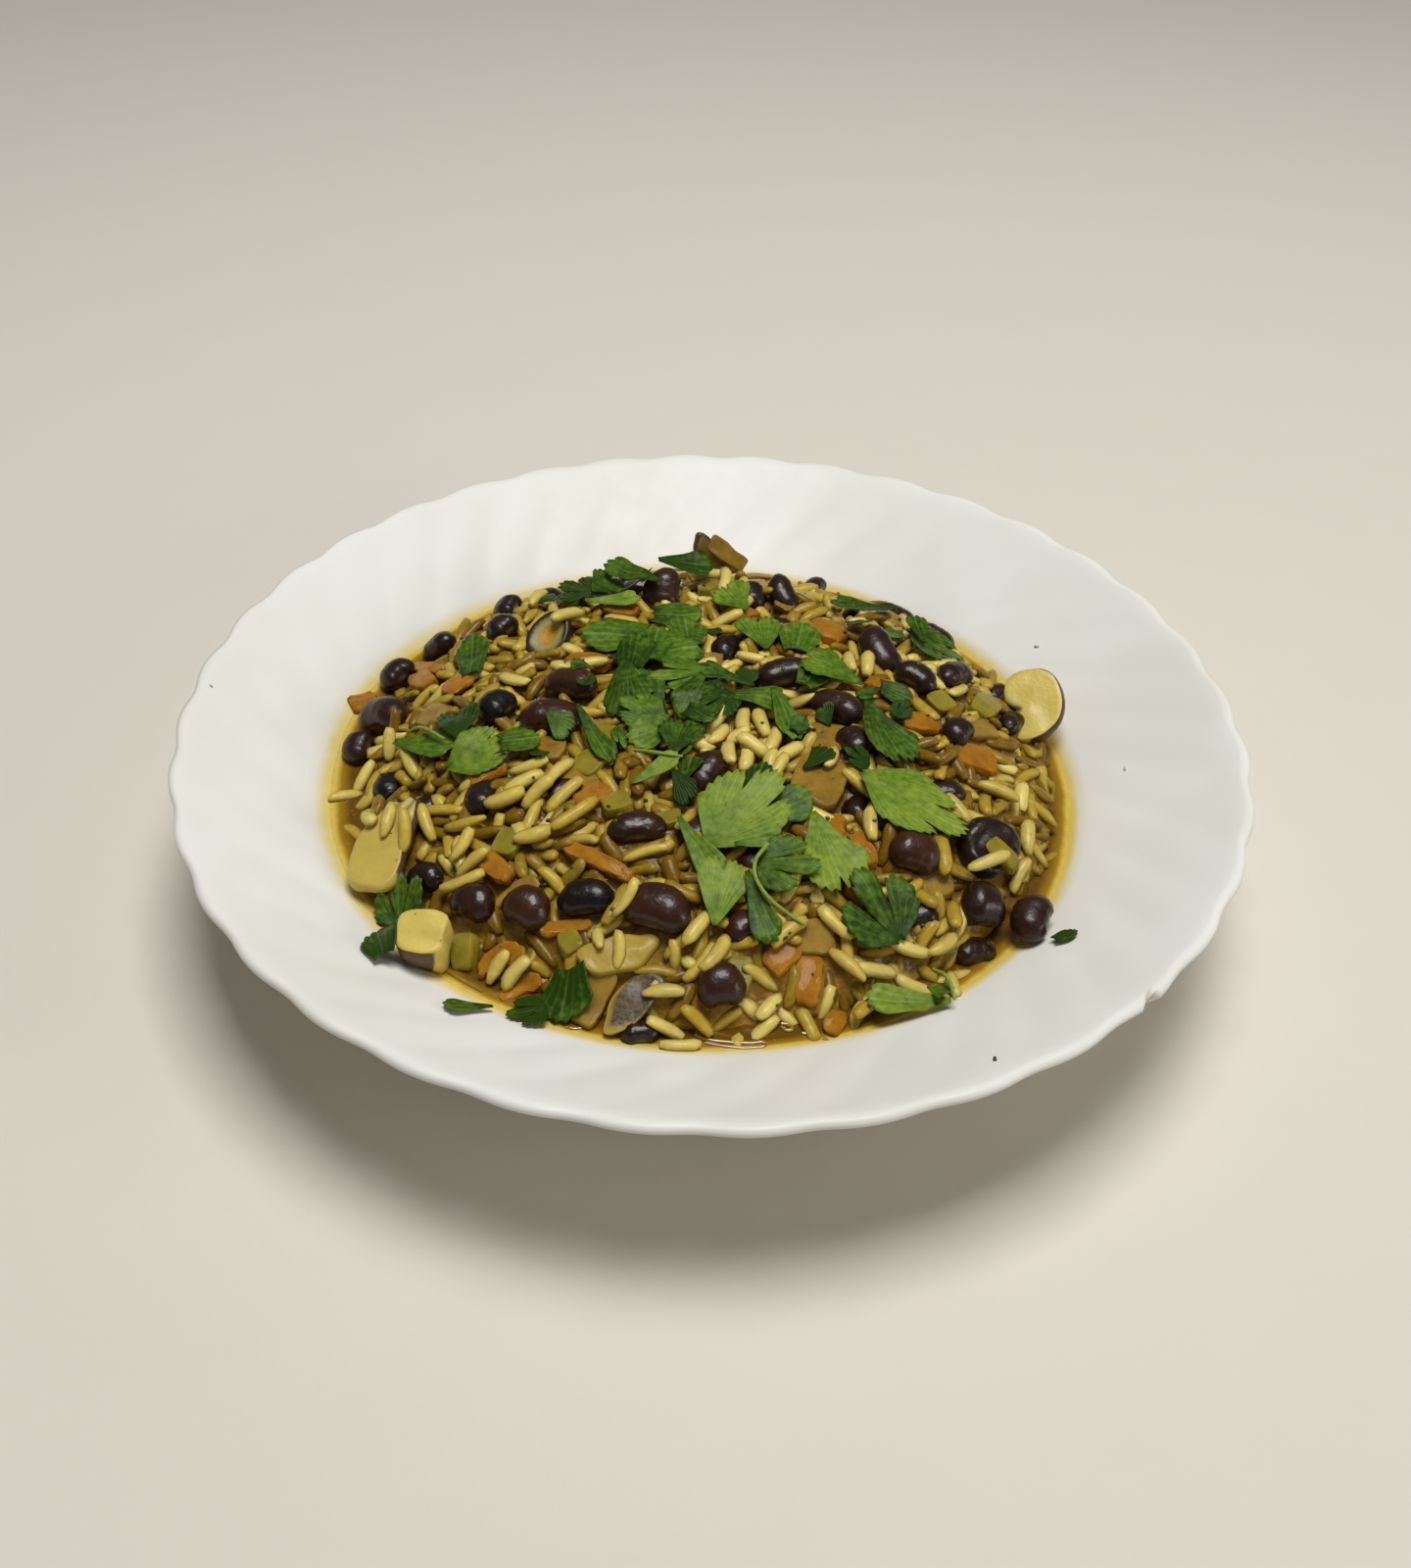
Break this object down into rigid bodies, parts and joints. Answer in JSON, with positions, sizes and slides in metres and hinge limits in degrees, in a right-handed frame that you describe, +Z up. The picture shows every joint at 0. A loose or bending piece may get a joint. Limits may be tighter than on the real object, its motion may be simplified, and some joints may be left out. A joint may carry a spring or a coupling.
{
  "type": "rice and beans plate",
  "caption": "Soup plate with a fluted, scalloped rim, filled with a heap of stewed rice, black beans, mushroom, carrot and herbs in thin broth.",
  "frame": {"origin": "on the table, in the middle of the plate's foot ring", "axes": "+Z up, +Y away from the diner, +X to the diner's right"},
  "size_m": [0.2252, 0.2252, 0.0411],
  "materials": {
    "opal_glass": "gloss",
    "rice": "moist",
    "broth": "wet gloss",
    "bean": "wet gloss",
    "mushroom": "moist",
    "carrot": "moist",
    "celery": "moist",
    "onion": "moist",
    "herb": "moist"
  },
  "bodies": {
    "root": {"bean_back_left_far": "bean", "bean_back_left_near": "bean", "bean_back_left_rim": "bean", "bean_back_left_wrinkled": "bean", "bean_back_pair_left": "bean", "bean_back_pair_right": "bean", "bean_back_right_flat": "bean", "bean_back_right_rim": "bean", "bean_back_upright": "bean", "bean_centre_long": "bean", "bean_centre_low": "bean", "bean_centre_twisted": "bean", "bean_front_black": "bean", "bean_front_brown": "bean", "bean_front_shiny": "bean", "bean_front_wrinkled": "bean", "bean_half": "bean", "bean_left_black": "bean", "bean_left_brown": "bean", "bean_left_edge": "bean", "bean_left_grey": "bean", "bean_left_large": "bean", "bean_left_small": "bean", "bean_middle_low": "bean", "bean_middle_upright": "bean", "bean_near_edge": "bean", "bean_right_brown": "bean", "bean_right_curved": "bean", "bean_right_edge": "bean", "bean_right_long": "bean", "bean_right_open": "bean", "bean_right_round": "bean", "bean_right_tail": "bean", "bean_right_wrinkled": "bean", "broth": "broth", "carrot_back": "carrot", "carrot_front": "carrot", "carrot_left": "carrot", "carrot_left_back": "carrot", "carrot_middle": "carrot", "carrot_right": "carrot", "celery_back": "celery", "celery_left": "celery", "celery_near": "celery", "celery_right": "celery", "mushroom_chunk": "mushroom", "mushroom_gills": "mushroom", "mushroom_left": "mushroom", "mushroom_right": "mushroom", "mushroom_slab": "mushroom", "onion_left": "onion", "onion_middle": "onion", "plate": "opal_glass", "rice_heap": "rice"}
  },
  "joints": []
}
